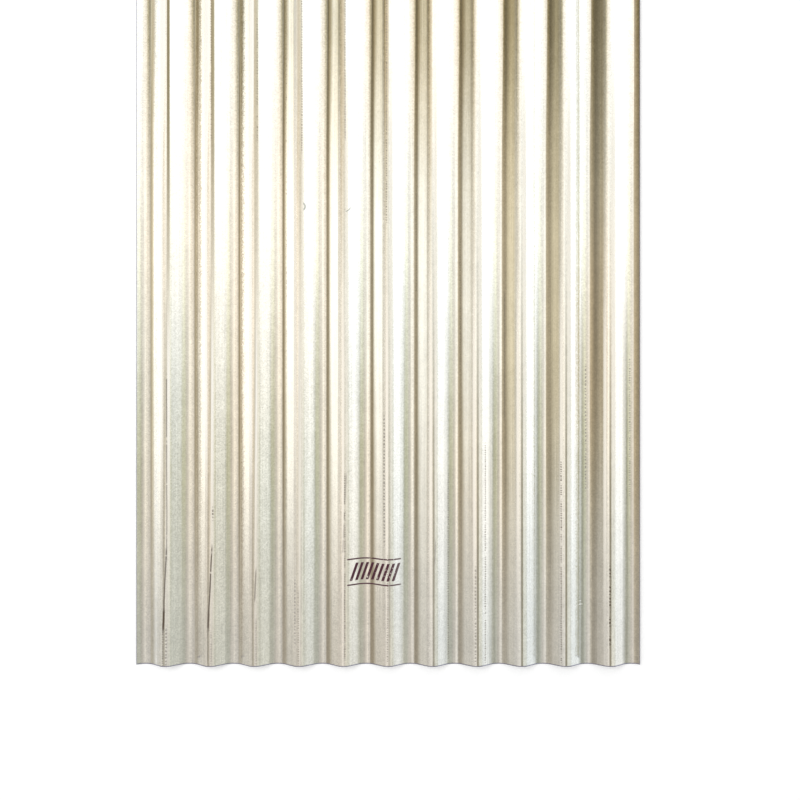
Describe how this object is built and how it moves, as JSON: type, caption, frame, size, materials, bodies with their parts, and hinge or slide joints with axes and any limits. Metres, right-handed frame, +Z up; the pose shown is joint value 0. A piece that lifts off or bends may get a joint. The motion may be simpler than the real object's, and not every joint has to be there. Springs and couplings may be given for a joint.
{
  "type": "corrugated metal sheet",
  "caption": "Zinc-coated steel roofing sheet with round corrugations along its whole length, slit side edges and square sheared ends.",
  "frame": {"origin": "under the middle of the sheet, on the level that its troughs stand on", "axes": "+X across the waves, +Y along the waves, +Z up through the sheet; the sheet is the same from either side edge and from either end"},
  "size_m": [0.8682, 2, 0.018],
  "materials": {
    "zinc_coating": "bright galvanised zinc with a fine mottled grain, faint rolling lines along the waves and a few thin brown stains on the crests"
  },
  "bodies": {
    "root": {"corrugated_sheet": "zinc_coating"}
  },
  "joints": []
}
